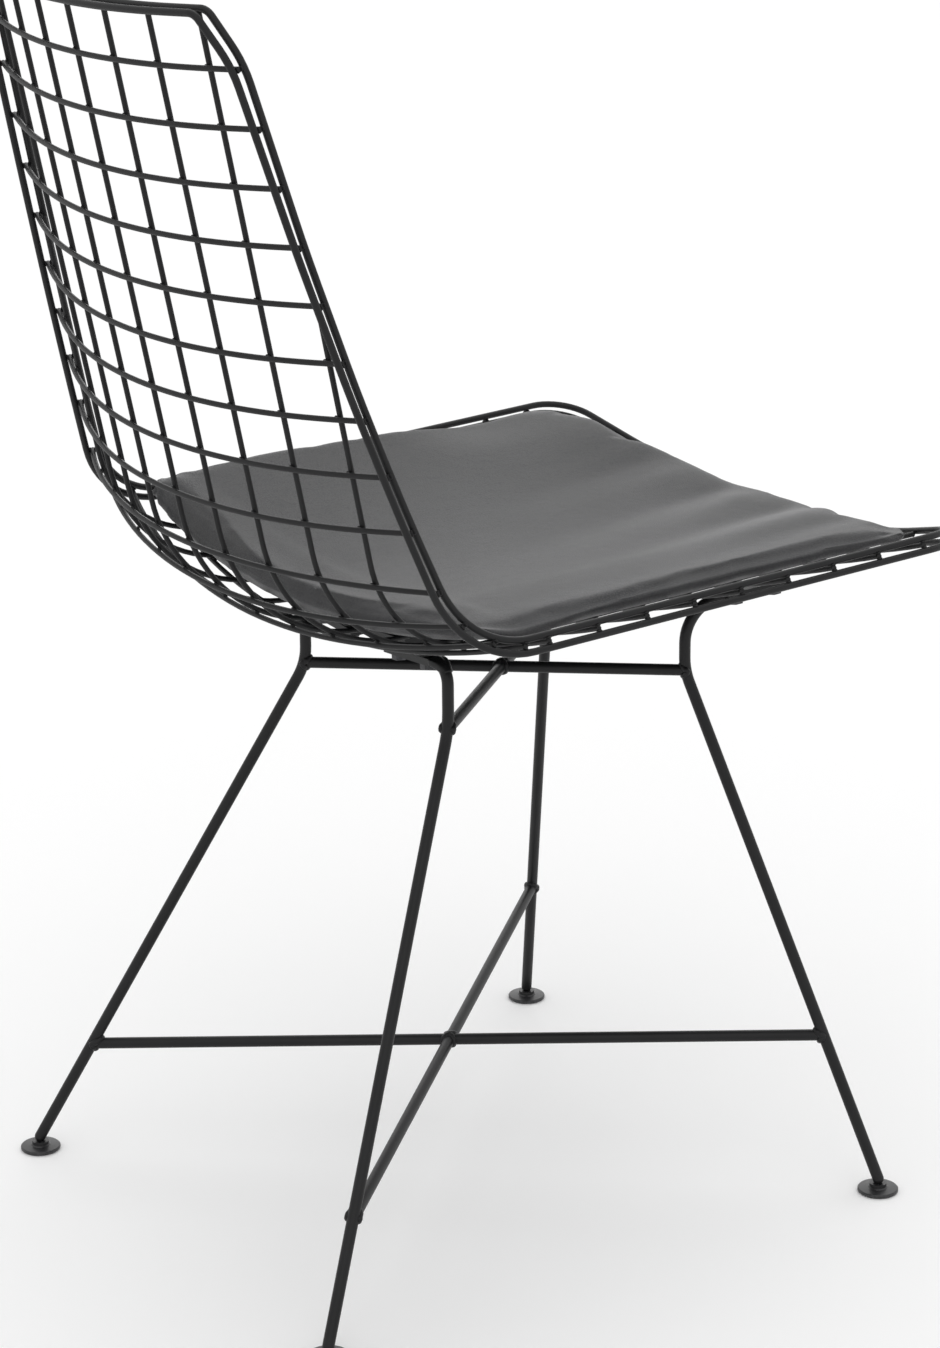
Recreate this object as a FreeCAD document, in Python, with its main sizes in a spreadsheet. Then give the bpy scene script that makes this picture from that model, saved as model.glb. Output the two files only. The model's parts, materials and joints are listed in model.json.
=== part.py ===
"""Wire mesh chair: a welded wire bucket on four bent rod legs, with a loose seat pad.

Row frame: millimetres here, +Z up, the floor at Z = 0, the front of the chair towards -Y and the
sitter's left towards +X. The bucket is a bent sheet of wires: a straight back, a round bend and a
straight seat, each curved from side to side.
"""
import math
import os

import FreeCAD
import Part

Vector = FreeCAD.Vector
doc = FreeCAD.newDocument("wire_mesh_chair")

# Sizes

sheet = doc.addObject("Spreadsheet::Sheet", "sizes")
SIZES = [
    ("mesh_dia", "3.6 mm", "diameter of the mesh wires"),
    ("rim_dia", "4.7 mm", "diameter of the two rim wires"),
    ("weld_gap", "0.1 mm", "gap left for the weld between two wires"),
    ("column_pitch", "42.3 mm", "distance between the lengthwise wires"),
    ("column_count", "9", "number of lengthwise wires"),
    ("first_row_drop", "34.5 mm", "from the top of the back to its first cross wire"),
    ("back_row_pitch", "36.5 mm", "distance between the cross wires of the back"),
    ("back_row_count", "10", "number of cross wires in the back"),
    ("bend_row_count", "3", "number of cross wires in the bend"),
    ("seat_row_start", "17.8 mm", "from the end of the bend to the first cross wire of the seat"),
    ("seat_row_pitch", "38.1 mm", "distance between the cross wires of the seat"),
    ("seat_row_count", "9", "number of cross wires in the seat"),
    ("row_end_past", "1 mm", "how far a cross wire ends past the middle of the rim"),
    ("shell_top_height", "853.4 mm", "height of the top of the back at its middle"),
    ("shell_top_reach", "270.1 mm", "how far back the top of the back is"),
    ("back_lean", "11.66 deg", "lean of the back from upright"),
    ("seat_rise", "1.78 deg", "rise of the seat towards the front"),
    ("back_length", "344 mm", "straight part of the back from the top to the bend"),
    ("bend_radius", "113.4 mm", "radius of the bend between back and seat at the middle"),
    ("back_curve_radius", "448 mm", "side to side curve of the back"),
    ("seat_curve_radius", "660 mm", "side to side curve of the seat"),
    ("seat_length", "356 mm", "straight part of the seat from the bend to the front rim"),
    ("front_bulge", "25 mm", "how far the front rim bulges forward at its middle"),
    ("top_half_width", "133 mm", "half width of the straight top of the back"),
    ("top_corner_radius", "9 mm", "radius of the top corners"),
    ("slant_half_width", "152 mm", "half width of the back below its slanted top corner"),
    ("slant_drop", "32 mm", "how far below the top the slanted corner ends"),
    ("slant_bow_reach", "13 mm", "how far the bow below the slanted corner runs"),
    ("upper_half_width", "169.3 mm", "half width of the back 147 mm below the top"),
    ("upper_drop", "147 mm", "where the upper half width is taken"),
    ("middle_half_width", "185.8 mm", "half width of the back further down"),
    ("middle_drop", "240 mm", "where the middle half width is taken"),
    ("lower_half_width", "202.8 mm", "half width of the back above the bend"),
    ("lower_drop", "322 mm", "where the lower half width is taken"),
    ("side_half_width", "223.7 mm", "half width of the seat"),
    ("side_reach", "190 mm", "where the seat starts to widen, from the end of the bend"),
    ("front_half_width", "226 mm", "half width of the seat at its front corner"),
    ("front_corner_radius", "34 mm", "radius of the front corners"),
    ("rim_spread", "4 mm", "how much wider the outer rim wire runs than the inner one"),
    ("side_bow_reach", "22 mm", "how far the bows of the rim's sides run from their corners"),
    ("low_bow_reach", "36 mm", "how far the bow above the bend runs from its corner"),
    ("rod_dia", "8 mm", "diameter of the leg rods and the bars"),
    ("back_foot_x", "195.6 mm", "half spread of the back legs on the floor"),
    ("back_foot_behind", "140.5 mm", "from the end of the bend back to the back legs on the floor"),
    ("front_foot_x", "215.7 mm", "half spread of the front legs on the floor"),
    ("front_foot_ahead", "312.3 mm", "from the end of the bend forward to the front legs on the floor"),
    ("back_knee_x", "87.5 mm", "half spread of the back legs at the upper bars"),
    ("back_knee_ahead", "33.5 mm", "from the end of the bend forward to the back legs at the upper bars"),
    ("front_knee_x", "81.1 mm", "half spread of the front legs at the upper bars"),
    ("front_knee_ahead", "235.5 mm", "from the end of the bend forward to the front legs at the upper bars"),
    ("knee_drop", "61 mm", "from the end of the bend down to the upper bars"),
    ("knee_radius", "45 mm", "bend of the legs at the upper bars"),
    ("back_shoulder_radius", "13 mm", "bend of the back legs into their tabs"),
    ("front_shoulder_radius", "28 mm", "bend of the front legs into their tabs"),
    ("back_bar_height", "81.5 mm", "height of the lower bars on the back legs"),
    ("front_bar_height", "111.3 mm", "height of the lower bars on the front legs"),
    ("ankle_height", "9.6 mm", "height of the round end of a leg above the floor"),
    ("tab_thickness", "5 mm", "thickness of the flattened end of a leg"),
    ("tab_width", "13 mm", "width of the flattened end of a leg"),
    ("tab_length", "54 mm", "length of the flattened end of a leg"),
    ("tab_overlap", "1.5 mm", "how far the round rod runs into the tab"),
    ("tab_past_mount", "0.5 mm", "from the end of a mount plate to the round rod"),
    ("arm_run", "3.5 mm", "straight run of the rod between its last bend and the tab"),
    ("bolt_spacing", "34 mm", "distance between the two bolts of a leg"),
    ("bolt_dia", "6 mm", "shank of the bolts"),
    ("bolt_clearance", "0.2 mm", "radial play of a bolt in its holes"),
    ("bolt_head_width", "10 mm", "width of a bolt head across its flats"),
    ("bolt_head_height", "4 mm", "height of a bolt head"),
    ("mount_seat_gap", "0.2 mm", "gap between a mount plate and the wires or the tab"),
    ("back_mount_thickness", "5 mm", "thickness of the back mount plates"),
    ("back_mount_width", "44 mm", "width of the back mount plates, over two cross wires"),
    ("front_mount_thickness", "5 mm", "thickness of the front mount plates"),
    ("front_mount_width", "20 mm", "width of the front mount plates"),
    ("spacer_dia", "12 mm", "diameter of the spacers between a mount plate and a tab"),
    ("back_spacer_height", "11 mm", "height of the spacers of the back mount plates"),
    ("front_spacer_height", "15 mm", "height of the spacers of the front mount plates"),
    ("glide_dia", "28.5 mm", "diameter of the glides"),
    ("glide_rim", "3 mm", "thickness of a glide at its edge"),
    ("glide_hub_dia", "12 mm", "diameter of the raised middle of a glide"),
    ("glide_clearance", "0.08 mm", "play of the round leg end in its glide"),
    ("glide_lip_drop", "3 mm", "how far the cup's lip lies below the middle of the ball"),
    ("pad_gap", "0.4 mm", "gap between the pad and the wires under it"),
    ("pad_thickness", "26 mm", "thickness of the pad at its middle"),
    ("pad_half_width", "213 mm", "half width of the pad"),
    ("pad_side_thickness", "17 mm", "thickness of the pad at its sides"),
    ("pad_front_reach", "346 mm", "front edge of the pad, from the end of the bend"),
    ("pad_bend_early", "14 mm", "where the pad starts to bend up before the wires do"),
    ("pad_bend_angle", "38 deg", "how far the pad follows the bend"),
    ("pad_front_corner", "42 mm", "radius of the pad's front corners"),
    ("pad_rear_corner", "22 mm", "radius of the pad's rear corners"),
    ("pad_edge_radius", "6 mm", "rounding of the pad's edges"),
]
for row, (alias, value, note) in enumerate(SIZES, start=1):
    sheet.set("A%d" % row, alias)
    sheet.set("B%d" % row, "=" + value)
    sheet.set("C%d" % row, note)
    sheet.setAlias("B%d" % row, alias)
doc.recompute()


def size(alias):
    """One size from the sheet, in mm or degrees."""
    value = sheet.get(alias)
    return float(getattr(value, "Value", value))


mesh_r = size("mesh_dia") / 2
rim_r = size("rim_dia") / 2
rod_r = size("rod_dia") / 2
weld_gap = size("weld_gap")
pitch = size("column_pitch")

# The shape of the bucket, as points in the Y, Z plane and a side to side curve

lean = math.radians(size("back_lean"))
rise = math.radians(size("seat_rise"))
bend_turn = math.pi / 2 - lean + rise
back_down = Vector(0, -math.sin(lean), -math.cos(lean))
back_inward = Vector(0, -math.cos(lean), math.sin(lean))
seat_forward = Vector(0, -math.cos(rise), math.sin(rise))
seat_inward = Vector(0, math.sin(rise), math.cos(rise))
back_radius = size("back_curve_radius")
seat_radius = size("seat_curve_radius")
bend_radius = size("bend_radius")
back_length = size("back_length")
top_middle = Vector(0, size("shell_top_reach"), size("shell_top_height"))
bend_centre = top_middle + back_down * back_length + back_inward * bend_radius
seat_start = bend_centre - seat_inward * bend_radius
wire_level = mesh_r + weld_gap / 2
inner_rim_level = -wire_level + mesh_r + rim_r + weld_gap
outer_rim_level = -wire_level - mesh_r - rim_r - weld_gap


def sag(x, radius):
    """How far a side to side curve has risen at a distance x from the middle."""
    return radius - math.sqrt(radius * radius - x * x)


def bend_normal(fraction):
    """Inward direction at a share of the bend, from the back (0) to the seat (1)."""
    turn = fraction * bend_turn
    return back_inward * math.cos(turn) + Vector(0, back_inward.z, -back_inward.y) * math.sin(turn)


def back_height(x, level):
    """Height in front of the middle of the back, at x aside and level mm in front of the sheet."""
    return level + sag(x, back_radius - level)


def seat_height(x, level):
    """Height above the middle of the seat, at x aside and level mm above the sheet."""
    return level + sag(x, seat_radius - level)


def bend_axis(x, level):
    """Centre and radius of the bend, x aside and level mm inside the sheet."""
    half = (back_height(x, level) - seat_height(x, level)) / 2
    corner = back_inward.y * seat_inward.z - back_inward.z * seat_inward.y
    shift_y = half * (seat_inward.z + back_inward.z) / corner
    shift_z = -half * (back_inward.y + seat_inward.y) / corner
    centre = bend_centre + Vector(x, shift_y, shift_z)
    return centre, bend_radius - (back_height(x, level) + seat_height(x, level)) / 2


def back_point(x, drop, level):
    """Point of the back: x aside, drop below the top, level mm in front of the sheet."""
    return top_middle + back_down * drop + back_inward * back_height(x, level) + Vector(x, 0, 0)


def seat_point(x, reach, level):
    """Point of the seat: x aside, reach forward of the bend, level mm above the sheet."""
    return seat_start + seat_forward * reach + seat_inward * seat_height(x, level) + Vector(x, 0, 0)


def bend_point(x, fraction, level):
    """Point of the bend at a share of its turn."""
    centre, radius = bend_axis(x, level)
    return centre - bend_normal(fraction) * radius


def bend_corner(x, level):
    """Where the back and the seat would meet without the bend."""
    centre, radius = bend_axis(x, level)
    return centre - bend_normal(0.5) * (radius / math.cos(bend_turn / 2))


# Paths of straight runs joined by tangent arcs

def bow_radius(before, corner, after, reach):
    """Radius of the arc that starts and ends a reach away from a corner."""
    turn = math.pi - (before - corner).getAngle(after - corner)
    return reach / math.tan(turn / 2)


def rounded_wire(points, radii):
    """A wire through points whose inner corners are rounded with the radii."""
    edges = []
    start = points[0]
    for index in range(1, len(points) - 1):
        corner = points[index]
        before = (points[index - 1] - corner).normalize()
        after = (points[index + 1] - corner).normalize()
        turn = math.pi - before.getAngle(after)
        reach = radii[index - 1] * math.tan(turn / 2)
        middle_way = (before + after).normalize()
        first = corner + before * reach
        last = corner + after * reach
        middle = corner + middle_way * (radii[index - 1] * (1 / math.cos(turn / 2) - 1))
        if (first - start).dot(corner - start) <= 0 or (first - start).Length < 0.05:
            raise ValueError("a bend of the path doesn't fit at point %d" % index)
        edges.append(Part.LineSegment(start, first).toShape())
        edges.append(Part.Arc(first, middle, last).toShape())
        start = last
    if (points[-1] - start).dot(points[-1] - points[-2]) <= 0:
        raise ValueError("the last bend of the path doesn't fit")
    edges.append(Part.LineSegment(start, points[-1]).toShape())
    return Part.Wire(edges)


def swept_rod(name, wire, dia_alias, extra=0.0):
    """A round rod along a wire, with its diameter from the sheet."""
    path = doc.addObject("Part::Feature", name + "_path")
    path.Shape = wire
    first = wire.Edges[0]
    direction = first.tangentAt(first.FirstParameter)
    section = doc.addObject("Part::Circle", name + "_section")
    section.setExpression("Radius", "sizes.%s / 2 + %g mm" % (dia_alias, extra))
    section.Placement = FreeCAD.Placement(
        first.valueAt(first.FirstParameter), FreeCAD.Rotation(Vector(0, 0, 1), direction))
    rod = doc.addObject("Part::Sweep", name)
    rod.Sections = [section]
    rod.Spine = path
    rod.Solid = True
    rod.Frenet = False
    return rod


pieces = []


def keep(piece, name):
    """Names a finished piece and lists it for export."""
    piece.Label = name
    pieces.append(piece)
    return piece


# The rim: two wires that hold the ends of the mesh between them

slant_bow = size("slant_bow_reach")
side_bow = size("side_bow_reach")
low_bow = size("low_bow_reach")
front_reach = size("seat_length")
TOP_STEPS = (0.138, 0.413, 0.688)  # corners of the top run, as shares of its half width
FRONT_STEPS = (7 / 11, 5 / 11, 3 / 11, 1 / 11)  # the same for the front run, from its corner inwards
ARC_SHARE = 0.9  # leaves a short straight run between two neighbouring arcs of the rim
LEAD_SHARE = 0.6  # the same next to a front corner, where the run before it is longer
# How much of the spread each corner of the back has; the rest of the rim has all of it
SPREAD_SHARES = {"slant": 0.2, "upper": 0.8, "middle": 1, "lower": 1}


def front_edge(x):
    """How far the front rim is from the end of the bend, at x aside."""
    return front_reach + size("front_bulge") * (1 - (x / size("front_half_width")) ** 2)


def rim_wire(level, side):
    """Half of a rim wire, from the middle of the top to the middle of the front."""
    spread = size("rim_spread") * (-wire_level - level) / (inner_rim_level - outer_rim_level)
    top = [back_point(size("top_half_width") * step, 0, level) for step in TOP_STEPS]
    points = [Vector(weld_gap / 2, top[0].y, top[0].z)] + top
    radii = [(back_radius - level) * ARC_SHARE] * 3
    points.append(back_point(size("top_half_width"), 0, level))
    radii.append(size("top_corner_radius"))
    for part, share in SPREAD_SHARES.items():
        points.append(back_point(size(part + "_half_width") + spread * share, size(part + "_drop"), level))
        radii.append(None)
    width = size("side_half_width") + spread
    points.append(bend_corner(width, level))
    radii.append(bend_axis(width, level)[1])
    points.append(seat_point(width, size("side_reach"), level))
    radii.append(None)
    corner_width = size("front_half_width") + spread
    points.append(seat_point(corner_width, front_reach, level))
    radii.append(size("front_corner_radius"))
    front = [seat_point(corner_width * step, front_edge(corner_width * step), level) for step in FRONT_STEPS]
    points += front
    front_radius = 1 / math.hypot(1 / (seat_radius - level), 2 * size("front_bulge") / corner_width ** 2)
    radii += [front_radius * share for share in (LEAD_SHARE, ARC_SHARE, ARC_SHARE, ARC_SHARE)]
    points.append(Vector(weld_gap / 2, front[-1].y, front[-1].z))
    bows = iter((slant_bow, side_bow, side_bow, low_bow, side_bow))
    for index, radius in enumerate(radii):
        if radius is None:
            radii[index] = bow_radius(*points[index:index + 3], next(bows))
    if side < 0:
        points = [Vector(-point.x, point.y, point.z) for point in points]
    return rounded_wire(points, radii)


for layer, layer_level in (("inner", inner_rim_level), ("outer", outer_rim_level)):
    for side_name, side in (("left", 1), ("right", -1)):
        name = "rim_%s_%s" % (layer, side_name)
        keep(swept_rod(name, rim_wire(layer_level, side), "rim_dia"), name)

# Lengthwise wires: they end against the side of the inner rim wire

inner_rim = rim_wire(inner_rim_level, 1)
middle_rim = rim_wire(-wire_level, 1)


def clear_way(point_at, upright, needed, inside):
    """How far short of the rim a wire ends, to be clear of the inner rim wire seen square to the sheet."""
    way = inside
    for step in (8.0, 1.0, 0.1, 0.01):
        while way > 0 and rim_distance(point_at(way), upright) > needed:
            way -= step
        way += step
    return way


def rim_distance(point, upright):
    """Distance from a point to the middle line of the inner rim wire, seen square to the sheet."""
    post = Part.LineSegment(point - upright * size("rim_dia"), point + upright * size("rim_dia"))
    return post.toShape().distToShape(inner_rim)[0]


columns = int(size("column_count"))
end_clear = rim_r + weld_gap
column_paths = []
for index in range(columns):
    x = (index - (columns - 1) / 2) * pitch
    aside = abs(x)
    start_drop = end_clear
    if aside > size("top_half_width"):
        start_drop = clear_way(
            lambda drop: back_point(aside, drop, wire_level), back_inward, end_clear + mesh_r, back_length)
    start = back_point(aside, start_drop, wire_level)
    corner = bend_corner(aside, wire_level)
    slope = 2 * size("front_bulge") * aside / size("front_half_width") ** 2
    end_short = clear_way(
        lambda short: seat_point(aside, front_edge(aside) - short, wire_level), seat_inward,
        end_clear + mesh_r * slope, pitch)
    end = seat_point(aside, front_edge(aside) - end_short, wire_level)
    across = Vector(x, 0, 0)
    path_points = [Vector(0, point.y, point.z) + across for point in (start, corner, end)]
    wire = rounded_wire(path_points, [bend_axis(aside, wire_level)[1]])
    column_paths.append(wire)
    name = "mesh_lengthwise_%d" % (index + 1)
    keep(swept_rod(name, wire, "mesh_dia"), name)

# Cross wires: one arc each, on the outer side of the lengthwise wires, ending inside the rim


def add_cross_wire(name, point_on, guess_width):
    """A cross wire through the middle of the sheet and the middle of the rim on both sides."""
    extra = 0.0
    for _ in range(3):
        middle = point_on(0, -wire_level - extra)
        near = point_on(guess_width, -wire_level)
        end = Part.Vertex(near).distToShape(middle_rim)[1][0][1]
        lift = Vector(0, end.y - middle.y, end.z - middle.z)
        radius = (end.x ** 2 + lift.Length ** 2) / (2 * lift.Length)
        inward = lift.normalize()
        centre = middle + inward * radius
        circle = Part.Circle(centre, inward.cross(Vector(1, 0, 0)), radius).toShape()
        least = min(circle.distToShape(path)[0] for path in column_paths)
        short = 2 * mesh_r + weld_gap / 2 - least
        if short <= 0:
            break
        extra += short
    half_turn = math.asin(end.x / radius) + size("row_end_past") / radius
    sideways = Vector(1, 0, 0)
    axis = (inward * -1).cross(sideways)
    turned = FreeCAD.Rotation(inward * -1, sideways, axis, "XYZ")
    wire = doc.addObject("Part::Torus", name)
    wire.Radius1 = radius
    wire.setExpression("Radius2", "sizes.mesh_dia / 2")
    wire.Angle3 = 2 * math.degrees(half_turn)
    back_turn = FreeCAD.Rotation(Vector(0, 0, 1), -math.degrees(half_turn))
    wire.Placement = FreeCAD.Placement(centre, turned.multiply(back_turn))
    print("%s radius %.1f, least gap to the lengthwise wires %.2f" % (name, radius, least - 2 * mesh_r))
    return keep(wire, name)


back_row_pitch = size("back_row_pitch")
back_rows = int(size("back_row_count"))
bend_rows = int(size("bend_row_count"))
seat_rows = int(size("seat_row_count"))
bend_length = bend_turn * bend_radius


def sheet_point(x, way, level):
    """Point of the bucket at a way along its middle, from the top of the back."""
    if way <= back_length:
        return back_point(x, way, level)
    if way < back_length + bend_length:
        return bend_point(x, (way - back_length) / bend_length, level)
    return seat_point(x, way - back_length - bend_length, level)


def rim_guess(way):
    """About how wide the bucket is at a way along its middle."""
    stations = [(0, size("top_half_width")), (size("slant_drop"), size("slant_half_width")),
                (size("upper_drop"), size("upper_half_width")),
                (size("middle_drop"), size("middle_half_width")),
                (size("lower_drop"), size("lower_half_width")),
                (back_length + bend_length / 2, size("side_half_width")),
                (back_length + bend_length + front_reach, size("front_half_width"))]
    for (low_way, low), (high_way, high) in zip(stations, stations[1:]):
        if way <= high_way:
            return low + (high - low) * (way - low_way) / (high_way - low_way)
    return size("front_half_width")


row_ways = [("mesh_across_back_%02d" % (step + 1), size("first_row_drop") + step * back_row_pitch)
            for step in range(back_rows)]
last_back = row_ways[-1][1]
first_seat = back_length + bend_length + size("seat_row_start")
for step in range(bend_rows):
    way = last_back + (first_seat - last_back) * (step + 1) / (bend_rows + 1)
    row_ways.append(("mesh_across_bend_%d" % (step + 1), way))
for step in range(seat_rows):
    row_ways.append(("mesh_across_seat_%d" % (step + 1), first_seat + step * size("seat_row_pitch")))
for name, way in row_ways:
    add_cross_wire(name, lambda x, level, way=way: sheet_point(x, way, level), rim_guess(way))

# Mount plates, legs and bolts: a plate's top lies under the cross wires

shell_under = -wire_level - mesh_r - size("mount_seat_gap")
tab_thickness = size("tab_thickness")
tab_length = size("tab_length")
mount_length = tab_length - 2 * (size("tab_overlap") + size("tab_past_mount"))
knee_height = seat_start.z - size("knee_drop")
foot_y = {"back": seat_start.y + size("back_foot_behind"), "front": seat_start.y - size("front_foot_ahead")}
ankle = size("ankle_height")
CORNERS = [
    ("back_left", 1, "back"), ("back_right", -1, "back"),
    ("front_left", 1, "front"), ("front_right", -1, "front"),
]


def box_at(name, frame, length, width, height, low_length, low_width, low_height):
    """A box in a frame, given by its sizes and its low corner."""
    box = doc.addObject("Part::Box", name)
    box.Length = length
    box.Width = width
    box.Height = height
    box.Placement = frame.multiply(FreeCAD.Placement(Vector(low_length, low_width, low_height), FreeCAD.Rotation()))
    return box


def pin_at(name, frame, along, low, height, radius):
    """A round pin across a frame's plate."""
    pin = doc.addObject("Part::Cylinder", name)
    pin.Radius = radius
    pin.Height = height
    pin.Placement = frame.multiply(FreeCAD.Placement(Vector(along, 0, low), FreeCAD.Rotation()))
    return pin


def cut(name, body, tools):
    """The body without the tools."""
    joined = tools[0]
    if len(tools) > 1:
        joined = doc.addObject("Part::MultiFuse", name + "_tools")
        joined.Shapes = tools
    result = doc.addObject("Part::Cut", name)
    result.Base = body
    result.Tool = joined
    return result


leg_wires = {}
for corner_name, side, end_name in CORNERS:
    knee_x = size(end_name + "_knee_x")
    knee_y = seat_start.y - size(end_name + "_knee_ahead")
    shoulder = size(end_name + "_shoulder_radius")
    thickness = size(end_name + "_mount_thickness")
    depth = thickness + size(end_name + "_spacer_height")
    arm_clear = shoulder + size("arm_run") + tab_length / 2 - size("tab_overlap")
    # The mount frame: X along the tab away from the leg, Z square to the seat
    if end_name == "back":
        aside = knee_x - arm_clear
        reach = (seat_start.y - knee_y) / math.cos(rise)
    else:
        aside = knee_x
        reach = (seat_start.y - knee_y + arm_clear) / math.cos(rise)
    touch = seat_point(aside, reach, shell_under)
    tilt = math.asin(aside / (seat_radius - shell_under))
    square = seat_inward * math.cos(tilt) - Vector(math.sin(tilt), 0, 0)
    sideways = Vector(math.cos(tilt), 0, 0) + seat_inward * math.sin(tilt)
    along = sideways * -1 if end_name == "back" else seat_forward
    if side < 0:
        touch = Vector(-touch.x, touch.y, touch.z)
        square = Vector(-square.x, square.y, square.z)
        along = Vector(-along.x, along.y, along.z)
    width_way = square.cross(along)
    frame = FreeCAD.Placement(touch, FreeCAD.Rotation(along, width_way, square, "XZY"))
    mount_width = size(end_name + "_mount_width")
    hole_r = size("bolt_dia") / 2 + size("bolt_clearance")
    bolt_places = (-size("bolt_spacing") / 2, size("bolt_spacing") / 2)
    plate = box_at("mount_blank_" + corner_name, frame, mount_length, mount_width, thickness,
                   -mount_length / 2, -mount_width / 2, -thickness)
    spacers = [pin_at("mount_spacer_%s_%d" % (corner_name, i), frame, place, -depth, depth - thickness / 2,
                      size("spacer_dia") / 2) for i, place in enumerate(bolt_places)]
    blank = doc.addObject("Part::MultiFuse", "mount_body_" + corner_name)
    blank.Shapes = [plate] + spacers
    holes = [pin_at("mount_hole_%s_%d" % (corner_name, i), frame, place, -depth - 1, depth - 1, hole_r)
             for i, place in enumerate(bolt_places)]
    keep(cut("mount_plate_" + corner_name, blank, holes), "mount_plate_" + corner_name)
    # The leg: from its round end up to the knee, upright to the shoulder, then into the tab
    tab_top = -depth - size("mount_seat_gap")
    tab_middle = tab_top - tab_thickness / 2
    tab_start = frame.multVec(Vector(-tab_length / 2, 0, tab_middle))
    foot = Vector(side * size(end_name + "_foot_x"), foot_y[end_name], 0)
    knee = Vector(side * knee_x, knee_y, knee_height)
    ankle_point = foot + (knee - foot) * (ankle / knee.z)
    rod_end = frame.multVec(Vector(-tab_length / 2 + size("tab_overlap"), 0, tab_middle))
    back_way = frame.Rotation.multVec(Vector(-1, 0, 0))
    if end_name == "front":
        travel = (knee.y - rod_end.y) / back_way.y
    else:
        travel = (knee.x - rod_end.x) / back_way.x
    shoulder_point = rod_end + back_way * travel
    leg_points = [ankle_point, knee, Vector(knee.x, knee.y, shoulder_point.z), rod_end]
    leg_wire = rounded_wire(leg_points, [size("knee_radius"), shoulder])
    leg_wires[corner_name] = (leg_wire, ankle_point, foot, knee)
    rod = swept_rod("leg_rod_" + corner_name, leg_wire, "rod_dia")
    ball = doc.addObject("Part::Sphere", "leg_ball_" + corner_name)
    ball.setExpression("Radius", "sizes.rod_dia / 2")
    tilt_axis = Vector(0, 0, 1).cross(knee - foot)
    ball.Placement = FreeCAD.Placement(ankle_point, FreeCAD.Rotation(Vector(0, 0, 1), tilt_axis))
    tab = box_at("leg_tab_blank_" + corner_name, frame, tab_length, size("tab_width"), tab_thickness,
                 -tab_length / 2, -size("tab_width") / 2, tab_middle - tab_thickness / 2)
    blank = doc.addObject("Part::MultiFuse", "leg_blank_" + corner_name)
    blank.Shapes = [rod, ball, tab]
    holes = [pin_at("leg_hole_%s_%d" % (corner_name, i), frame, place, tab_middle - tab_thickness,
                    2 * tab_thickness, hole_r) for i, place in enumerate(bolt_places)]
    keep(cut("leg_" + corner_name, blank, holes), "leg_" + corner_name)
    # The bolts: hexagon heads under the tab, shanks up into the plate
    bolts = []
    head_top = tab_middle - tab_thickness / 2 - weld_gap
    shank_top = -thickness / 2
    for i, place in enumerate(bolt_places):
        head = doc.addObject("Part::Prism", "bolt_head_%s_%d" % (corner_name, i))
        head.Polygon = 6
        head.Circumradius = size("bolt_head_width") / math.sqrt(3)
        head.Height = size("bolt_head_height")
        head.Placement = frame.multiply(FreeCAD.Placement(
            Vector(place, 0, head_top - size("bolt_head_height")), FreeCAD.Rotation()))
        shank = pin_at("bolt_shank_%s_%d" % (corner_name, i), frame, place, head_top - 1,
                       shank_top - head_top + 1, size("bolt_dia") / 2)
        bolts += [head, shank]
    pair = doc.addObject("Part::MultiFuse", "bolts_" + corner_name)
    pair.Shapes = bolts
    keep(pair, "bolts_" + corner_name)

# Bars between the legs: one long bar and two halves at each level

clear_rods = {}
for corner_name, (leg_wire, ankle_point, foot, knee) in leg_wires.items():
    clear_rods[corner_name] = swept_rod("leg_clear_" + corner_name, leg_wire, "rod_dia", weld_gap)


def bar_between(name, start, end, tools):
    """A round bar between two points, cut back from what it is welded to."""
    bar = doc.addObject("Part::Cylinder", name + "_blank")
    bar.setExpression("Radius", "sizes.rod_dia / 2")
    bar.Height = (end - start).Length
    bar.Placement = FreeCAD.Placement(start, FreeCAD.Rotation(Vector(0, 0, 1), end - start))
    return keep(cut(name, bar, tools), name)


def bar_end(corner_name, level_name):
    """Where a bar meets the middle line of a leg."""
    leg_wire, ankle_point, foot, knee = leg_wires[corner_name]
    if level_name == "upper":
        return knee
    height = size(corner_name.split("_")[0] + "_bar_height")
    return foot + (knee - foot) * (height / knee.z)


for level_name in ("upper", "lower"):
    ends = {corner: bar_end(corner, level_name) for corner in leg_wires}
    long_start = ends["back_right"]
    long_end = ends["front_left"]
    share = long_start.x / (long_start.x - long_end.x)
    crossing = long_start + (long_end - long_start) * share
    long_clear = doc.addObject("Part::Cylinder", "bar_clear_" + level_name)
    long_clear.setExpression("Radius", "sizes.rod_dia / 2 + sizes.weld_gap")
    long_clear.Height = (long_end - long_start).Length
    long_clear.Placement = FreeCAD.Placement(long_start, FreeCAD.Rotation(Vector(0, 0, 1), long_end - long_start))
    bar_between("bar_%s_long" % level_name, long_start, long_end,
                [clear_rods["back_right"], clear_rods["front_left"]])
    bar_between("bar_%s_back_left" % level_name, ends["back_left"], crossing,
                [clear_rods["back_left"], long_clear])
    bar_between("bar_%s_front_right" % level_name, ends["front_right"], crossing,
                [clear_rods["front_right"], long_clear])

# Glides: turned cups that tilt on the round ends of the legs

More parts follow.
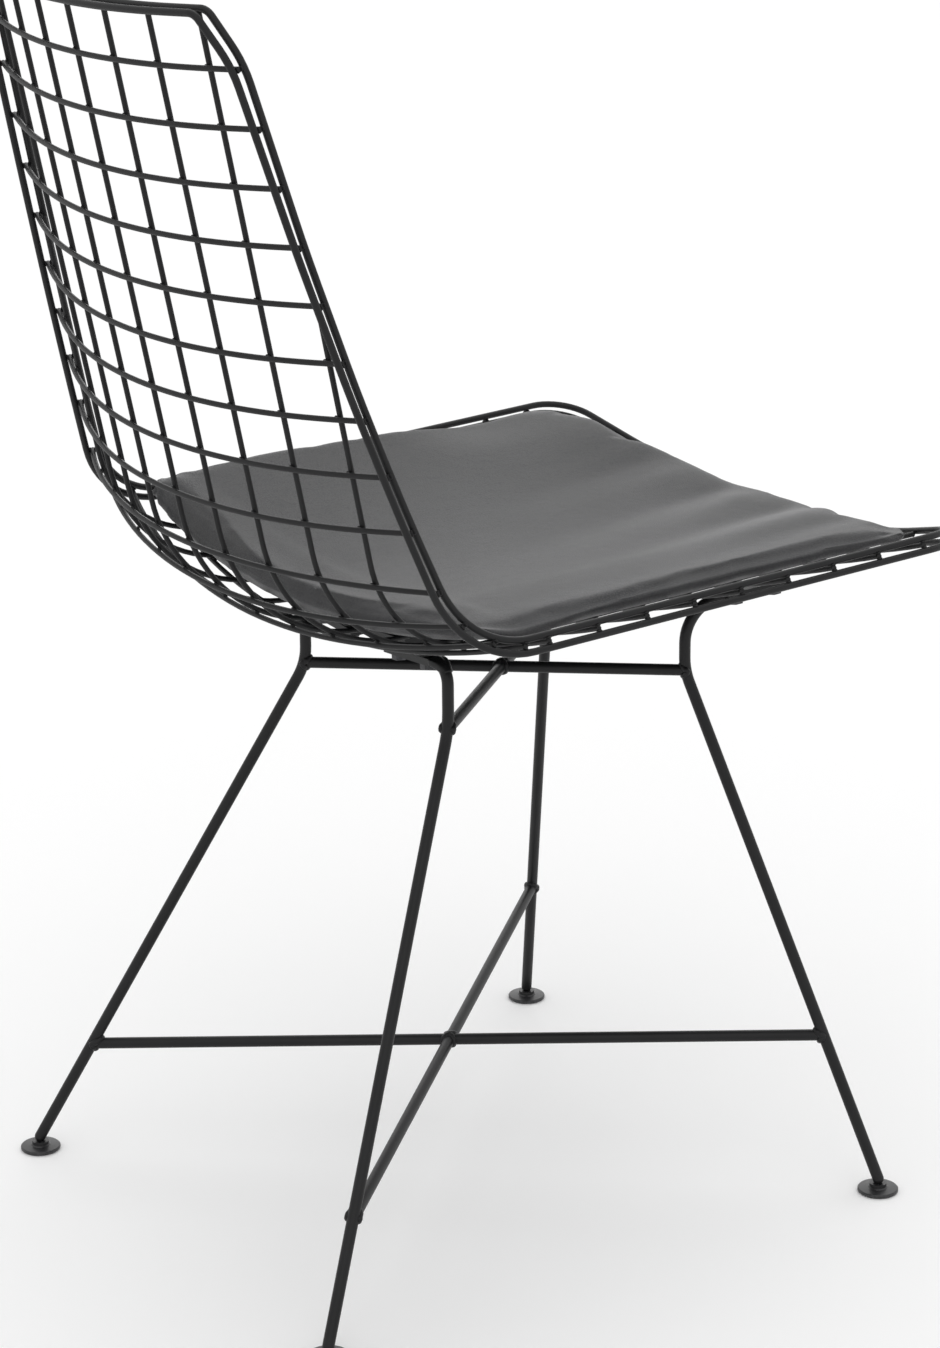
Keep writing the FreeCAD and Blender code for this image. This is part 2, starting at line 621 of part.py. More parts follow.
for corner_name, (leg_wire, ankle_point, foot, knee) in leg_wires.items():
    glide_r = size("glide_dia") / 2
    hub_r = size("glide_hub_dia") / 2
    edge = size("glide_rim")
    cup_r = rod_r + size("glide_clearance")
    lip = ankle - size("glide_lip_drop")
    lip_r = math.sqrt(cup_r ** 2 - size("glide_lip_drop") ** 2)
    half_lip = math.radians(90) - math.asin(size("glide_lip_drop") / cup_r)
    cup_middle = Vector(cup_r * math.sin(half_lip / 2), 0, ankle - cup_r * math.cos(half_lip / 2))
    corners = [Vector(0, 0, 0), Vector(glide_r - 1, 0, 0), Vector(glide_r, 0, 1), Vector(glide_r, 0, edge - 0.6),
               Vector(glide_r - 0.6, 0, edge), Vector(hub_r + 1, 0, edge + 0.4), Vector(hub_r, 0, edge + 1.2),
               Vector(hub_r, 0, lip), Vector(lip_r, 0, lip)]
    edges = [Part.LineSegment(a, b).toShape() for a, b in zip(corners, corners[1:])]
    edges.append(Part.Arc(corners[-1], cup_middle, Vector(0, 0, ankle - cup_r)).toShape())
    edges.append(Part.LineSegment(Vector(0, 0, ankle - cup_r), corners[0]).toShape())
    profile = doc.addObject("Part::Feature", "glide_profile_" + corner_name)
    profile.Shape = Part.Face(Part.Wire(edges))
    glide = doc.addObject("Part::Revolution", "glide_" + corner_name)
    glide.Source = profile
    glide.Axis = Vector(0, 0, 1)
    glide.Angle = 360
    glide.Solid = True
    glide.Placement = FreeCAD.Placement(Vector(ankle_point.x, ankle_point.y, 0), FreeCAD.Rotation())
    keep(glide, "glide_" + corner_name)
    print("ankle of %s at %.2f, %.2f, %.2f" % (corner_name, ankle_point.x, ankle_point.y, ankle_point.z))

# The pad: a slab that follows the seat and the start of the bend


def pad_shape():
    """Closed solid of the pad, from its section, its outline and its rounded edges."""
    level = wire_level + mesh_r + size("pad_gap")
    half = size("pad_half_width")
    thick = size("pad_thickness")
    under_radius = seat_radius - level
    origin = seat_start + seat_forward * size("pad_bend_early")

    def place(x, height):
        return origin + Vector(x, 0, 0) + seat_inward * height

    under_side = level + sag(half, under_radius)
    top_side = under_side + size("pad_side_thickness")
    under = Part.Arc(place(-half, under_side), place(0, level), place(half, under_side)).toShape()
    over = Part.Arc(place(half, top_side), place(0, level + thick), place(-half, top_side)).toShape()
    right = Part.LineSegment(place(half, under_side), place(half, top_side)).toShape()
    left = Part.LineSegment(place(-half, top_side), place(-half, under_side)).toShape()
    section = Part.Face(Part.Wire([under, right, over, left]))
    flat = section.extrude(seat_forward * (size("pad_front_reach") - size("pad_bend_early")))
    turn_centre = origin + seat_inward * (bend_radius - size("pad_bend_early"))
    bent = section.copy().revolve(turn_centre, Vector(1, 0, 0), size("pad_bend_angle"))
    body = flat.fuse(bent).removeSplitter().Solids[0]
    front = [edge for edge in body.Edges if is_corner(edge, half) and edge.Vertexes[0].Y < 0]
    body = body.makeFillet(size("pad_front_corner"), front)
    rear = [edge for edge in body.Edges if is_corner(edge, half) and edge.Vertexes[0].Y > seat_start.y + 5]
    body = body.makeFillet(size("pad_rear_corner"), rear)
    outline = [edge for edge in body.Edges if is_outline(edge, body)]
    return body.makeFillet(size("pad_edge_radius"), outline).Solids[0]


def is_corner(edge, half):
    """True for a corner edge of the pad, across its thickness at one side."""
    first, last = edge.Vertexes[0].Point, edge.Vertexes[-1].Point
    return abs(abs(first.x) - half) < 0.01 and abs(first.x - last.x) < 0.01 and edge.Length < size("pad_thickness")


def is_outline(edge, body):
    """True for an edge between the rim and the top or the underside of the pad."""
    faces = body.ancestorsOfType(edge, Part.Face)
    around = [face for face in faces if face.BoundBox.DiagonalLength > 0 and is_rim_face(face)]
    return len(faces) == 2 and len(around) == 1


def is_rim_face(face):
    """True for a narrow face around the pad."""
    return face.Area / max(edge.Length for edge in face.Edges) < size("pad_thickness") * 1.2


pad = doc.addObject("Part::Feature", "seat_pad")
pad.Shape = pad_shape()
keep(pad, "seat_pad")

# Every piece is moved so that the chair stands over the middle of its own box

doc.recompute()
box = FreeCAD.BoundBox()
for piece in pieces:
    box.add(piece.Shape.optimalBoundingBox(False))
middle_shift = Vector(0, -box.Center.y, 0)
for piece in pieces:
    piece.Placement = FreeCAD.Placement(middle_shift, FreeCAD.Rotation()).multiply(piece.Placement)
doc.recompute()
print("moved along Y by %.3f" % middle_shift.y)

# Checks and export

faults = []
for item in doc.Objects:
    if "Invalid" in item.State or "Error" in item.State:
        faults.append("%s is %s" % (item.Name, item.State))
for piece in pieces:
    if piece.Shape.isNull() or not piece.Shape.isValid() or not piece.Shape.Solids:
        faults.append("%s has no valid solid" % piece.Label)
if faults:
    raise SystemExit("\n".join(faults))
os.makedirs("parts", exist_ok=True)
for piece in pieces:
    piece.Shape.exportStep("parts/%s.step" % piece.Label)
total = FreeCAD.BoundBox()
for piece in pieces:
    total.add(piece.Shape.optimalBoundingBox(False))
print("%d pieces, %.1f x %.1f x %.1f mm, low %.2f" % (
    len(pieces), total.XLength, total.YLength, total.ZLength, total.ZMin))
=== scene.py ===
"""Looks of the wire mesh chair: powder coated wires and rods, weld beads and the soft seat pad.

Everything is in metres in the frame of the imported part: +Z up, the floor at Z = 0, the front of
the chair towards -Y and the sitter's left towards +X.
"""

import json
import math
from collections import namedtuple

import bmesh
import bpy
import numpy as np
from mathutils import Matrix, Vector


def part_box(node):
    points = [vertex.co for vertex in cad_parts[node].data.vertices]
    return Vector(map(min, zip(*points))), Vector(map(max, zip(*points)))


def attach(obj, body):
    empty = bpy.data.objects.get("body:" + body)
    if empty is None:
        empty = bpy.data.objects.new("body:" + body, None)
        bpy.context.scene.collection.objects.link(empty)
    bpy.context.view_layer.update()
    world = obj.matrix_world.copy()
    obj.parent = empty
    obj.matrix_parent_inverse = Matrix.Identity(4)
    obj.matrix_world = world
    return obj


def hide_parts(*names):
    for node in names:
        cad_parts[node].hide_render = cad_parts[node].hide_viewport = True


bl_info = {
    "name": "Wire mesh chair looks",
    "version": (1, 0, 0),
    "blender": (4, 5, 0),
    "location": "3D View > Sidebar > Wire chair",
    "description": "Finishes the wire mesh chair: coat, welds, rod ends, glides and seat pad",
    "category": "Object",
}

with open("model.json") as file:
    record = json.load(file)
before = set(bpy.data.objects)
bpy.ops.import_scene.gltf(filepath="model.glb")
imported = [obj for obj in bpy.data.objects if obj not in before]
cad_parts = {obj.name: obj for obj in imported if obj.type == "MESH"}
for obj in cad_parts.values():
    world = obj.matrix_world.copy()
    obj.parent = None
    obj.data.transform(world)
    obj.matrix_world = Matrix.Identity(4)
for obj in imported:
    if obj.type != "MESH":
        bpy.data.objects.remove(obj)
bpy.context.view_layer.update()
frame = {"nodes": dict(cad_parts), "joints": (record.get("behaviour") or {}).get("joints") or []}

# Places that the solids give

COLUMN_COUNT = 9
SEAT_START = (0.08599 + 0.00954, 0.42607)  # end of the bend at the middle: Y and Z
SEAT_RISE = math.radians(1.78)
SEAT_AHEAD = np.array([0, -math.cos(SEAT_RISE), math.sin(SEAT_RISE)])
SEAT_UP = np.array([0, math.sin(SEAT_RISE), math.cos(SEAT_RISE)])
SEAT_CURVE = 0.660  # side to side radius of the seat
BEND_RADIUS = 0.1134
BACK_LEAN = math.radians(11.66)
BACK_UP = np.array([0, math.sin(BACK_LEAN), math.cos(BACK_LEAN)])
UPRIGHT = np.array([0, 0, 1.0])
ROD_RADIUS = 0.004
WIRE_LEVEL = 0.00185  # from a cross wire's middle line to the middle of its welds
PAD_UNDER = 0.00405  # height of the pad's underside over the sheet
PAD_BEND_EARLY = 0.014  # how far in front of the sheet's bend the pad's bend starts
PAD_FRONT = 0.346  # way from the sheet's bend to the pad's front edge
PAD_HALF_WIDTH = 0.213
CORNERS = ("back_left", "back_right", "front_left", "front_right")
SHOULDERS = {"back": 0.013, "front": 0.028}  # radius of a leg's last bend


def mesh_points(mesh, what="co"):
    """The vertices of a mesh as an array, or with what set to "normal" their normals."""
    flat = np.empty(len(mesh.vertices) * 3, np.float32)
    mesh.vertices.foreach_get(what, flat)
    return flat.reshape(-1, 3).astype(float)


def node_points(name):
    """The vertices of a CAD node as an array."""
    return mesh_points(frame["nodes"][name].data)


def unit(vector):
    """A vector, or each row of an array, at length one."""
    vector = np.asarray(vector, float)
    return vector / np.linalg.norm(vector, axis=-1, keepdims=True)


def softened(share):
    """A share from 0 to 1 that starts and stops gently: 3 t^2 - 2 t^3."""
    return share ** 2 * (3 - 2 * share)


def eased(value, low, high):
    """A gentle step: 0 below low and 1 above high."""
    return softened(np.clip((value - low) / (high - low), 0, 1))


def end_of(points, direction, depth=0.0002):
    """Middle of the points that lie furthest along a direction."""
    along = points @ unit(direction)
    return points[along > along.max() - depth].mean(0)


def own_axes(points):
    """Middle of a node, the main axes of its points, the longest first, and its span along each."""
    corners = np.unique(points.round(6), axis=0)
    turned = np.linalg.svd(corners - corners.mean(0), full_matrices=False)[2]
    along = corners @ turned.T
    low, high = along.min(0), along.max(0)
    order = np.argsort(low - high)
    return (high + low) / 2 @ turned, turned[order], (high - low)[order]


# Settings

class WireChairSizes(bpy.types.PropertyGroup):
    """Sizes of the parts that are added to the solids."""

    spot_radius: bpy.props.FloatProperty(
        name="Spot weld radius", description="Half width of the weld where two mesh wires cross",
        default=0.0021, unit="LENGTH", precision=4)
    spot_height: bpy.props.FloatProperty(
        name="Spot weld height", description="Half height of the weld where two mesh wires cross",
        default=0.0010, unit="LENGTH", precision=4)
    bead_radius: bpy.props.FloatProperty(
        name="Weld bead", description="Radius of the bead round the end of a bar",
        default=0.0021, unit="LENGTH", precision=4)
    flat_run: bpy.props.FloatProperty(
        name="Flattened run", description="Length over which a rod end is hammered flat",
        default=0.014, unit="LENGTH", precision=4)
    pad_voxel: bpy.props.FloatProperty(
        name="Pad voxel", description="Width of the cells that the pad is simulated with",
        default=0.0052, unit="LENGTH", precision=4)
    pad_slack: bpy.props.FloatProperty(
        name="Pad start", description="How much smaller the pad starts before it swells",
        default=0.0035, unit="LENGTH", precision=4)
    pad_swell: bpy.props.FloatProperty(
        name="Pad swell", description="The most that a point of the pad moves as it swells",
        default=0.0065, unit="LENGTH", precision=4)
    seam_height: bpy.props.FloatProperty(
        name="Seam height", description="Height of the side seam over the underside of the pad",
        default=0.0045, unit="LENGTH", precision=4)
    fold_height: bpy.props.FloatProperty(
        name="Fold height", description="Height of the soft folds behind the front edge of the pad",
        default=0.0026, unit="LENGTH", precision=4)


class WireChairColours(bpy.types.PropertyGroup):
    """Colours of the finishes."""

    coat: bpy.props.FloatVectorProperty(
        name="Powder coat", description="Colour of the coat on wires, rods and plates",
        default=(0.007, 0.007, 0.0075), subtype="COLOR", min=0, max=1)
    leather: bpy.props.FloatVectorProperty(
        name="Pad leather", description="Colour of the pad's cover",
        default=(0.052, 0.052, 0.0525), subtype="COLOR", min=0, max=1)
    # Also the base of the painted shade in the seam groove, which takes 0.6 of this colour
    leather_deep: bpy.props.FloatVectorProperty(
        name="Pad leather in creases", description="Colour of the cover in its grain and seams",
        default=(0.037, 0.037, 0.040), subtype="COLOR", min=0, max=1)
    plastic: bpy.props.FloatVectorProperty(
        name="Glide plastic", description="Colour of the glides",
        default=(0.014, 0.014, 0.015), subtype="COLOR", min=0, max=1)
    bolt: bpy.props.FloatVectorProperty(
        name="Bolt steel", description="Colour of the blackened bolts",
        default=(0.045, 0.045, 0.048), subtype="COLOR", min=0, max=1)
    floor: bpy.props.FloatVectorProperty(
        name="Floor", description="Colour of the studio floor",
        default=(0.97, 0.97, 0.97), subtype="COLOR", min=0, max=1)


def sizes():
    """The sizes that the panel shows."""
    return bpy.context.scene.wire_chair_sizes


def colours():
    """The colours that the panel shows."""
    return bpy.context.scene.wire_chair_colours


# Shader maths

class Wire:
    """A shader socket that takes part in Python sums; each operator adds a Math node."""

    def __init__(self, finish, socket):
        self.finish = finish
        self.socket = socket

    def _sum(self, operation, first, second):
        return self.finish.node("ShaderNodeMath", {"operation": operation}, {0: first, 1: second})

    def __add__(self, other):
        return self._sum("ADD", self, other)

    __radd__ = __add__

    def __mul__(self, other):
        return self._sum("MULTIPLY", self, other)

    __rmul__ = __mul__

    def __sub__(self, other):
        return self._sum("SUBTRACT", self, other)

    def __rsub__(self, other):
        return self._sum("SUBTRACT", other, self)


class Finish:
    """A material and the nodes that make it."""

    def __init__(self, name):
        self.material = bpy.data.materials.new(name)
        self.material.use_nodes = True
        self.tree = self.material.node_tree
        self.shader = self.tree.nodes["Principled BSDF"]

    def node(self, kind, settings=None, inputs=None, output=0):
        """Adds a node: its settings first, then the values or links of its sockets."""
        made = self.tree.nodes.new(kind)
        for name, value in (settings or {}).items():
            setattr(made, name, value)
        for key, value in (inputs or {}).items():
            self.put(made.inputs[key], value)
        return Wire(self, made.outputs[output])

    def put(self, socket, value):
        """Sets a socket to a value or links it."""
        if isinstance(value, Wire):
            self.tree.links.new(value.socket, socket)
        elif hasattr(value, "__len__") and len(value) == 3 and socket.type == "RGBA":
            socket.default_value = (*value, 1)
        else:
            socket.default_value = value

    def set(self, **values):
        """Sets the shader's sockets by name, with _ for a blank."""
        for name, value in values.items():
            self.put(self.shader.inputs[name.replace("_", " ")], value)

    def place(self):
        """Object coordinates, in metres."""
        return self.node("ShaderNodeTexCoord", output="Object")

    def noise(self, scale, detail, vector=None):
        """Soft noise, from 0 to 1."""
        return self.node("ShaderNodeTexNoise", inputs={
            "Vector": vector or self.place(), "Scale": scale, "Detail": detail, "Roughness": 0.5})

    def ramp(self, value, low, high):
        """A value turned into 0 below low and 1 above high."""
        return self.node("ShaderNodeMapRange", {"clamp": True}, {
            "Value": value, "From Min": low, "From Max": high})

    def mix(self, share, first, second):
        """Two colours mixed by a share; a Mix node's colour sockets are 6 and 7, its result 2."""
        inputs = {0: share, 6: first, 7: second}
        return self.node("ShaderNodeMix", {"data_type": "RGBA"}, inputs, output=2)

    def bump(self, height, depth, strength, under=None):
        """A bump of a depth in metres, laid over another one where that is given."""
        inputs = {"Height": height, "Distance": depth, "Strength": strength}
        if under is not None:
            inputs["Normal"] = under
        return self.node("ShaderNodeBump", inputs=inputs)


def times(colour, factor):
    """A colour made paler or darker by a factor."""
    return tuple(min(1, c * factor) for c in colour)


def powder_coat(name, colour, roughness=0.44):
    """Satin powder coat: a fine orange peel, uneven in gloss, a little paler where it is thin."""
    finish = Finish(name)
    peel = finish.noise(1400.0, 3.0)
    cloud = finish.noise(38.0, 2.0)
    thin = finish.ramp(cloud, 0.35, 0.75)
    finish.set(
        Base_Color=finish.mix(thin, tuple(colour), times(colour, 1.5)),
        Roughness=roughness + 0.07 * cloud, Specular_IOR_Level=0.26,
        Normal=finish.bump(peel, 0.00012, 0.5))
    return finish.material


def black_steel(name, colour):
    """Blackened steel: part metal, with faint scratches and handled patches."""
    finish = Finish(name)
    worn = finish.ramp(finish.noise(260.0, 4.0), 0.45, 0.7)
    finish.set(
        Base_Color=finish.mix(worn, tuple(colour), times(colour, 2.2)),
        Metallic=0.55 + 0.3 * worn, Roughness=0.46 - 0.1 * worn,
        Normal=finish.bump(finish.noise(900.0, 2.0), 0.00008, 0.5))
    return finish.material


def moulded_plastic(name, colour):
    """Moulded plastic: a fine even texture, a little scuffed near the floor."""
    finish = Finish(name)
    height = finish.node("ShaderNodeSeparateXYZ", inputs={"Vector": finish.place()}, output="Z")
    scuffs = finish.noise(420.0, 5.0)
    low = 1 - finish.ramp(height, 0.0005, 0.004)
    worn = low * finish.ramp(scuffs, 0.45, 0.65)
    finish.set(
        Base_Color=finish.mix(worn, tuple(colour), times(colour, 3.2)),
        Roughness=0.36 + 0.22 * worn,
        Normal=finish.bump(finish.noise(1800.0, 1.0), 0.00006, 0.4))
    return finish.material


def soft_leather(name, colour, deep):
    """Soft leather: pebbled grain, fine pores, slow changes of shade, and painted shade that
    darkens the seam groove.
    """
    finish = Finish(name)
    place = finish.place()
    pebble = finish.node("ShaderNodeTexVoronoi", {"feature": "DISTANCE_TO_EDGE"}, {
        "Vector": place, "Scale": 620.0}, output="Distance")
    grain = finish.ramp(pebble, 0.0, 0.22)
    pores = finish.noise(2600.0, 2.0, place)
    cloud = finish.noise(14.0, 3.0, place)
    seam = finish.node("ShaderNodeAttribute", {"attribute_name": "seam"}, output="Fac")
    patches = finish.ramp(grain * 0.6 + cloud * 0.5, 0.25, 0.75)
    shade = finish.mix(patches, tuple(deep), tuple(colour))
    # painted shade: the seam groove's mask darkens the cover towards 0.6 of the deep colour
    shade = finish.mix(seam * 0.7, shade, times(deep, 0.6))
    soft = finish.noise(90.0, 3.0, place)
    creases = finish.bump(soft, 0.0006, 0.35)
    finish.set(
        Base_Color=shade, Roughness=0.47 + 0.08 * cloud - 0.04 * grain, Specular_IOR_Level=0.24,
        Normal=finish.bump(grain + pores * 0.2, 0.00022, 0.45, creases))
    return finish.material


# Surfaces worked out with numpy

def grid_faces(rows, columns, wrap_rows=False, wrap_columns=False):
    """Quads of a grid of points, joined round where a direction closes on itself."""
    i = np.arange(rows if wrap_rows else rows - 1)[:, None]
    j = np.arange(columns if wrap_columns else columns - 1)[None, :]
    down, right = (i + 1) % rows, (j + 1) % columns
    corners = [i * columns + j, down * columns + j, down * columns + right, i * columns + right]
    return np.stack([c + 0 * i + 0 * j for c in corners], -1).reshape(-1, 4)


def linked(name, data):
    """A new object in the scene that holds a mesh, a lamp or a camera."""
    made = bpy.data.objects.new(name, data)
    bpy.context.scene.collection.objects.link(made)
    return made


def shade_smooth(mesh):
    """Shades all faces of a mesh smooth."""
    mesh.polygons.foreach_set("use_smooth", np.ones(len(mesh.polygons), bool))


def dress(starts, material):
    """Gives the CAD nodes whose names start like this their finish."""
    for name, node in frame["nodes"].items():
        if name.startswith(starts):
            node.data.materials.clear()
            node.data.materials.append(material)


def new_piece(name, points, faces, material, body="frame"):
    """Puts points and faces into a mesh that rides on a body."""
    mesh = bpy.data.meshes.new(name)
    mesh.from_pydata(np.asarray(points).tolist(), [], faces)
    mesh.update()
    piece = linked(name, mesh)
    mesh.materials.append(material)
    shade_smooth(mesh)
    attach(piece, body)
    return piece


def spot_shape(radius, height, around=10, rings=3):
    """A flattened ball: rings of radius R cos t at height H sin t, closed by a point at each pole.

    Returns its points and faces, wound so that they face outwards.
    """
    lift = np.linspace(-math.pi / 2, math.pi / 2, rings + 2)[1:-1]
    turn = np.arange(around) * 2 * math.pi / around
    wide = radius * np.cos(lift)[:, None]
    ring = np.stack([
        wide * np.cos(turn), wide * np.sin(turn),
        height * np.sin(lift)[:, None] * np.ones(around)], -1).reshape(-1, 3)
    points = np.concatenate([ring, [[0, 0, -height], [0, 0, height]]])
    quads = grid_faces(rings, around, wrap_columns=True)[:, ::-1]
    here, after = np.arange(around), (np.arange(around) + 1) % around
    low, high = len(ring), len(ring) + 1
    last = (rings - 1) * around
    bottom = np.stack([after, here, np.full(around, low)], -1)
    top = np.stack([last + here, last + after, np.full(around, high)], -1)
    return points, quads, np.concatenate([bottom, top])


def copies(shape, centres, frames):
    """A shape at many places: each point is the place plus its X, Y, Z along the frame's axes."""
    points, quads, triangles = shape
    placed = centres[:, None, :] + np.einsum("pk,nkj->npj", points, frames)
    step = (np.arange(len(centres)) * len(points))[:, None, None]
    faces = (quads[None] + step).reshape(-1, 4).tolist()
    faces += (triangles[None] + step).reshape(-1, 3).tolist()
    return placed.reshape(-1, 3), faces


def tube(path, radius, around=14):
    """A round profile carried along a closed path, with a radius for each point of the path."""
    ahead = unit(np.roll(path, -1, 0) - np.roll(path, 1, 0))
    guide = unit(path.mean(0) - path)
    side = unit(np.cross(ahead, guide))
    out = np.cross(side, ahead)
    turn = np.arange(around) * 2 * math.pi / around
    points = path[:, None] + radius[:, None, None] * (
        np.cos(turn)[None, :, None] * side[:, None] + np.sin(turn)[None, :, None] * out[:, None])
    faces = grid_faces(len(path), around, wrap_rows=True, wrap_columns=True)
    return points.reshape(-1, 3), faces.tolist()


# Spot welds where wires cross and where they meet the rim

ROW_MIDDLE, ROW_ENDS = 0.08, 0.97  # shares of a row's half width that bound its middle and ends
ROW_ROOM = 0.003  # a lengthwise wire nearer than this to a row's end isn't welded to the row
COLUMN_ROOM = 0.004  # nor is one whose top is nearer than this to the row's height
RIM_INSET = 0.0011  # from a row's end back to its welds on the rims

RowCircle = namedtuple("RowCircle", "middle inward centre radius half")


def row_names():
    """The cross wires, from the top of the back to the front of the seat."""
    back = ["mesh_across_back_%02d" % step for step in range(1, 11)]
    bend = ["mesh_across_bend_%d" % step for step in range(1, 4)]
    return back + bend + ["mesh_across_seat_%d" % step for step in range(1, 10)]


def row_circle(name):
    """The arc of a cross wire: middle point, inward direction, centre, radius and half width.

    With h the rise of a point along the inward direction, x^2 + h^2 = 2 h h0 + c is a straight
    line in h0 and c, so both come from one least squares fit.
    """
    points = node_points(name)
    half = np.abs(points[:, 0]).max()
    middle = points[np.abs(points[:, 0]) < half * ROW_MIDDLE].mean(0)
    ends = points[np.abs(points[:, 0]) > half * ROW_ENDS].mean(0)
    inward = unit(ends - middle)
    inward = unit([0, inward[1], inward[2]])
    rise = (points - middle) @ inward
    table = np.stack([2 * rise, np.ones(len(rise))], -1)
    centre, rest = np.linalg.lstsq(table, points[:, 0] ** 2 + rise ** 2, rcond=None)[0]
    return RowCircle(middle, inward, centre, math.sqrt(rest + centre ** 2), half)


def on_row(circle, x):
    """Points and inward directions of a cross wire at distances x from the middle."""
    across = np.outer(x, [1, 0, 0])
    drop = circle.centre - np.sqrt(circle.radius ** 2 - x ** 2)
    points = circle.middle[None] * [0, 1, 1] + np.outer(drop, circle.inward) + across
    return points, unit(np.outer(circle.centre - drop, circle.inward) - across)


def weld_frames(normals):
    """Frames whose Z is the direction from one wire to the other and whose X lies along the row."""
    across = unit(np.array([1.0, 0, 0]) - normals * normals[:, :1])
    return np.stack([across, np.cross(normals, across), normals], 1)


def add_spots(name, centres, normals, material):
    """A group of spot welds as one piece."""
    shape = spot_shape(sizes().spot_radius, sizes().spot_height)
    points, faces = copies(shape, centres, weld_frames(normals))
    new_piece(name, points, faces, material)


class WIRECHAIR_OT_mesh(bpy.types.Operator):
    """Coats the mesh and the rim and adds the spot weld at each crossing."""

    bl_idname = "wirechair.mesh"
    bl_label = "Mesh and rim"

    def execute(self, context):
        coat = powder_coat("coat_wire", colours().coat)
        dress("mesh_", coat)
        dress("rim_", powder_coat("coat_rim", colours().coat, 0.42))
        columns = ["mesh_lengthwise_%d" % step for step in range(1, COLUMN_COUNT + 1)]
        column_x = np.array([(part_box(name)[0].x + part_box(name)[1].x) / 2 for name in columns])
        column_top = np.array([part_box(name)[1].z for name in columns])
        groups = {"back": ([], []), "bend": ([], []), "seat": ([], []), "rim": ([], [])}
        for name in row_names():
            circle = row_circle(name)
            beside = np.abs(column_x) < circle.half - ROW_ROOM
            below = circle.middle[2] < column_top - COLUMN_ROOM
            points, normals = on_row(circle, column_x[beside & below])
            kept = groups[name.split("_")[2]]
            kept[0].append(points + normals * WIRE_LEVEL)
            kept[1].append(normals)
            points, normals = on_row(circle, np.array([-1, 1]) * (circle.half - RIM_INSET))
            groups["rim"][0].extend([points + normals * WIRE_LEVEL, points - normals * WIRE_LEVEL])
            groups["rim"][1].extend([normals, normals])
        for group, (centres, normals) in groups.items():
            add_spots("spot_welds_" + group, np.concatenate(centres), np.concatenate(normals), coat)
        fronts = [end_of(node_points(name), SEAT_AHEAD) for name in columns]
        tops = [end_of(node_points(name), BACK_UP) for name in columns[1:-1]]
        ends = np.array(fronts + tops)
        ways = np.array([SEAT_AHEAD] * len(fronts) + [BACK_UP] * len(tops))
        add_spots("spot_welds_ends", ends, ways, coat)
        return {"FINISHED"}


# Beads where the bars meet the legs, and the flattened rod ends

BARS = (  # each level's bars, with the corners that the two ends reach; None is the long bar
    ("long", "back_right", "front_left"),
    ("back_left", "back_left", None),
    ("front_right", "front_right", None),
)
KNEE_SEARCH = 0.2  # height between a leg's ankle and its knee bend
RING_DEPTH = 0.0035  # points this close in height are one ring of a leg's mesh
KNEE_REACH = 0.6  # share of the rod's radius that a leg's middle lies past an upper bar's end
BEAD_SINK = 0.98  # share of the rod's radius at which a bead's middle line runs
PLATE_GAP = 0.0002  # between a mount and the tab under it
TAB_HALF_THICK = 0.0025
TAB_REACH = 0.027  # from the middle of a mount back to the start of the tab
TAB_STRAIGHT = 0.0005  # what is straight between the tab and the leg's last bend
TAB_OVERLAP = 0.0006  # how far the hammered run goes on over the tab
ROUND_HALF = 0.00403  # its half width at the rod, just over the rod's radius
FLAT_HALVES = (0.00655, 0.00256)  # its half width and half thickness at the tab
FLAT_RINGS, FLAT_AROUND = 16, 28


def leg_line(corner):
    """A leg's straight run as its lower end and its direction, from its ankle to its knee bend."""
    joint = next(j for j in frame["joints"] if j["name"] == "glide_tilt_" + corner)
    ankle = np.array(joint["pos_m"], float)
    points = node_points("leg_" + corner)
    above = points[points[:, 2] > KNEE_SEARCH]
    lowest = above[above[:, 2] < above[:, 2].min() + RING_DEPTH]
    return ankle, unit(lowest.mean(0) - ankle)


def nearest_on_line(point, way, other_point, other_way):
    """The point of one line that is nearest to another line."""
    gap = other_point - point
    lean = way @ other_way
    step = (gap @ way - (gap @ other_way) * lean) / (1 - lean ** 2)
    return point + way * step


def bead_path(joint, way, rod_way, radius, count=48):
    """Where a bar meets a rod of the same radius: points round the bar, slid along it to the rod.

    With q a point of the bar's circle and P the part square to the rod, |P(q + t way)| = radius
    is a quadratic in t, and the larger root is the side that the bar leaves from.
    """
    first = unit(np.cross(way, rod_way))
    second = np.cross(way, first)
    turn = np.arange(count) * 2 * math.pi / count
    circle = radius * (np.cos(turn)[:, None] * first + np.sin(turn)[:, None] * second)
    square = np.eye(3) - np.outer(rod_way, rod_way)
    flat_circle, flat_way = circle @ square, way @ square
    a = flat_way @ flat_way
    b = 2 * flat_circle @ flat_way
    c = (flat_circle ** 2).sum(1) - radius ** 2
    slide = (-b + np.sqrt(np.maximum(b * b - 4 * a * c, 0))) / (2 * a)
    return joint + circle + slide[:, None] * way


def add_bead(name, joint, way, rod_way, material):
    """A weld bead with faint ripples round the end of a bar."""
    path = bead_path(joint, unit(way), unit(rod_way), ROD_RADIUS * BEAD_SINK)
    turn = np.arange(len(path)) * 2 * math.pi / len(path)
    lumps = 1 + 0.07 * np.cos(11 * turn) + 0.08 * np.cos(2 * turn + 0.7)
    points, faces = tube(path, sizes().bead_radius * lumps)
    new_piece(name, points, faces, material)


def welded_rod(level, corner, bar_end, outward, lines):
    """A point and the direction of the rod that a bar's end is welded to.

    That is the leg at a corner, or with no corner the long bar of the same level. At the upper
    level it is taken within the knee bend, half way between the leg's lean and upright.
    """
    if corner is None:
        middle, axes, _ = own_axes(node_points("bar_%s_long" % level))
        return middle, axes[0]
    point, way = lines[corner]
    if level == "upper":
        return bar_end + outward * ROD_RADIUS * KNEE_REACH, unit(way + UPRIGHT)
    return point, way


